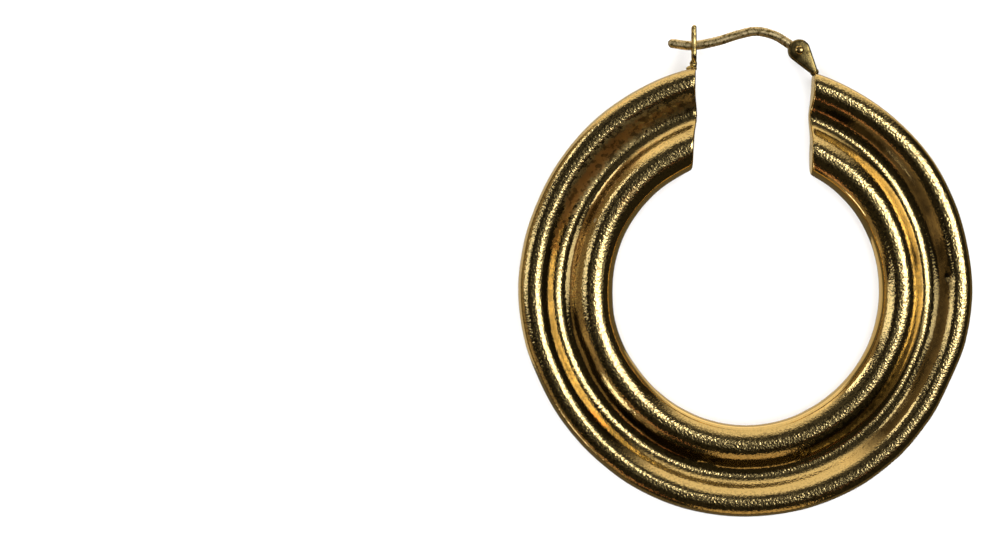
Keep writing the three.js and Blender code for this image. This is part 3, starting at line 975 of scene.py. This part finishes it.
# Lights around the earring: direction (azimuth round from +X and angle from straight up), size
# in degrees as seen from the earring, and brightness. Those under the horizon light the steep
# sides of the beads.
CARDS = (
    {"name": "key_core", "azimuth": 14, "polar": 31, "wide": 24, "tall": 32, "glow": 3.6},
    {"name": "key_halo", "azimuth": 8, "polar": 32, "wide": 40, "tall": 50, "glow": 0.3},
    {"name": "key_wing", "azimuth": 52, "polar": 18, "wide": 24, "tall": 22, "glow": 0.12},
    {"name": "left_window", "azimuth": 171, "polar": 51, "wide": 20, "tall": 25, "glow": 1.1},
    {"name": "left_lamp", "azimuth": 141, "polar": 63, "wide": 14, "tall": 7, "glow": 2.2},
    {"name": "low_lamp", "azimuth": 221, "polar": 78, "wide": 13, "tall": 4, "glow": 3.2},
    {"name": "low_tan", "azimuth": 218, "polar": 74, "wide": 44, "tall": 28, "glow": 0.18},
    {"name": "red_strip", "azimuth": 237, "polar": 64, "wide": 26, "tall": 3, "glow": 0.5},
    {"name": "red_strip_high", "azimuth": 317, "polar": 34, "wide": 26, "tall": 2, "glow": 0.25},
    {"name": "warm_wall", "azimuth": 90, "polar": 101, "wide": 90, "tall": 100, "glow": 0.17},
    {"name": "warm_wall_middle", "azimuth": 91, "polar": 101, "wide": 82, "tall": 90,
     "glow": 0.26},
    {"name": "warm_wall_core", "azimuth": 92, "polar": 102, "wide": 74, "tall": 82,
     "glow": 0.32},
    {"name": "table_glow", "azimuth": 115, "polar": 158, "wide": 100, "tall": 44, "glow": 0.4},
    {"name": "left_brown", "azimuth": 160, "polar": 81, "wide": 86, "tall": 34, "glow": 0.18},
    {"name": "far_brown", "azimuth": 275, "polar": 78, "wide": 27, "tall": 28, "glow": 0.42},
    {"name": "overhead", "azimuth": 0, "polar": 0, "wide": 20, "tall": 20, "glow": 0.03},
    {"name": "back_fill", "azimuth": 100, "polar": 42, "wide": 90, "tall": 44, "glow": 0.03},
)
WARM = {
    "warm_wall": "#FFF3DE", "warm_wall_middle": "#FFF3DE", "warm_wall_core": "#FFF3DE",
    "table_glow": "#FFEBC0", "left_brown": "#FFE0B0", "low_tan": "#FFE0B0",
    "red_strip": "#FFB088", "red_strip_high": "#FFB088",
    "far_brown": "#FFDDAA",
}
# Heights on a unit sphere between which the table gives way to the room.
HORIZON = (-0.3, 0.05)
FLOOR_GLOW = 3.4
FLOOR_LIGHT_SIZE = 100.0


class EARRING_OT_studio(bpy.types.Operator):
    """Set up the floor, the lights and the camera"""
    bl_idname = "earring.studio"
    bl_label = "Studio"

    def execute(self, context):
        studio = settings().studio
        self.floor(studio)
        world = bpy.data.worlds.new("dim_room")
        context.scene.world = world
        world.use_nodes = True
        self.room(world.node_tree, studio)
        for row in CARDS:
            self.card(studio, row, WARM.get(row["name"], "#FFFFFF"))
        self.floor_light(studio)
        self.camera(context, studio)
        return {"FINISHED"}

    def room(self, tree, studio):
        """The metal mirrors a dim room above the horizon and a lighter table below it."""
        heading = tree.nodes.new("ShaderNodeTexCoord").outputs["Generated"]
        height = add(tree, "ShaderNodeSeparateXYZ", {0: heading}, 2)
        below = ramp(tree, height, *HORIZON, 1.0, 0.0)
        tint = blend(tree, below, tuple(studio.dark), tuple(studio.table))
        tree.links.new(tint, tree.nodes["Background"].inputs["Color"])

    def floor(self, studio):
        # Matt pale card: no gloss, only a soft shadow.
        material = bpy.data.materials.new("pale_floor")
        material.use_nodes = True
        shader = material.node_tree.nodes["Principled BSDF"]
        shader.inputs["Base Color"].default_value = (*studio.floor, 1.0)
        shader.inputs["Roughness"].default_value = 0.9
        mesh = bpy.data.meshes.new("studio_floor")
        bm = bmesh.new()
        bmesh.ops.create_circle(bm, segments=96, radius=studio.floor_radius, cap_ends=True)
        bm.to_mesh(mesh)
        bm.free()
        mesh.materials.append(material)
        floor = bpy.data.objects.new("studio_floor", mesh)
        bpy.context.scene.collection.objects.link(floor)
        floor.visible_glossy = False

    def card(self, studio, row, tint):
        distance = studio.card_distance
        data = bpy.data.lights.new(row["name"], "AREA")
        data.shape = "RECTANGLE"
        data.size = 2 * distance * math.tan(math.radians(row["wide"]) / 2)
        data.size_y = 2 * distance * math.tan(math.radians(row["tall"]) / 2)
        data.energy = row["glow"] * math.pi * data.size * data.size_y
        data.color = linear(tint)
        light = self.aimed(data, row["azimuth"], row["polar"], distance)
        light.visible_diffuse = False

    def floor_light(self, studio):
        distance = studio.card_distance
        data = bpy.data.lights.new("floor_light", "AREA")
        data.shape = "DISK"
        data.size = 2 * distance * math.tan(math.radians(FLOOR_LIGHT_SIZE) / 2)
        data.energy = FLOOR_GLOW * math.pi * math.pi * data.size * data.size / 4
        light = self.aimed(data, 0, 0, distance)
        light.visible_glossy = False

    def aimed(self, data, azimuth, polar, distance):
        """Hangs a light in this direction, facing the earring."""
        around, down = math.radians(azimuth), math.radians(polar)
        towards = Vector((
            math.sin(down) * math.cos(around), math.sin(down) * math.sin(around), math.cos(down),
        ))
        light = bpy.data.objects.new(data.name, data)
        bpy.context.scene.collection.objects.link(light)
        sideways = Vector((-math.sin(around), math.cos(around), 0.0))
        upwards = towards.cross(sideways)
        light.matrix_world = (
            Matrix.Translation(CENTRE + towards * distance)
            @ Matrix((sideways, upwards, towards)).transposed().to_4x4()
        )
        light.visible_camera = False
        return light

    def camera(self, context, studio):
        data = bpy.data.cameras.new("camera")
        data.sensor_width = 36.0
        data.lens = data.sensor_width * studio.camera_height / studio.frame_width
        data.clip_start = 0.01
        data.clip_end = 10.0
        camera = bpy.data.objects.new("camera", data)
        context.scene.collection.objects.link(camera)
        offset = Vector((studio.offset_x, studio.offset_y, studio.camera_height))
        camera.location = CENTRE + offset
        context.scene.camera = camera
        context.scene.view_settings.view_transform = "Standard"


# ------------------------------------------------------------------ add-on

PIECE_OPERATORS = (
    EARRING_OT_hoop, EARRING_OT_catch, EARRING_OT_fork, EARRING_OT_rivet, EARRING_OT_ear_wire,
    EARRING_OT_studio,
)


class EARRING_PT_parts(bpy.types.Panel):
    """Lists the earring's pieces and the studio"""
    bl_idname = "EARRING_PT_parts"
    bl_label = "Hoop earring"
    bl_space_type = "VIEW_3D"
    bl_region_type = "UI"
    bl_category = "Earring"

    def draw(self, context):
        for operator in PIECE_OPERATORS:
            self.layout.operator(operator.bl_idname)


CLASSES = (
    HoopSizes, EarWireSizes, ClaspSizes, Finishes, Studio, EarringSettings,
    *PIECE_OPERATORS, EARRING_PT_parts,
)


def register():
    for cls in CLASSES:
        bpy.utils.register_class(cls)
    bpy.types.Scene.earring = PointerProperty(type=EarringSettings)


def unregister():
    del bpy.types.Scene.earring
    for cls in reversed(CLASSES):
        bpy.utils.unregister_class(cls)


def main():
    register()
    bpy.ops.earring.hoop()
    bpy.ops.earring.catch()
    bpy.ops.earring.fork()
    bpy.ops.earring.rivet()
    bpy.ops.earring.ear_wire()
    bpy.ops.earring.studio()


if __name__ == "__main__":
    main()
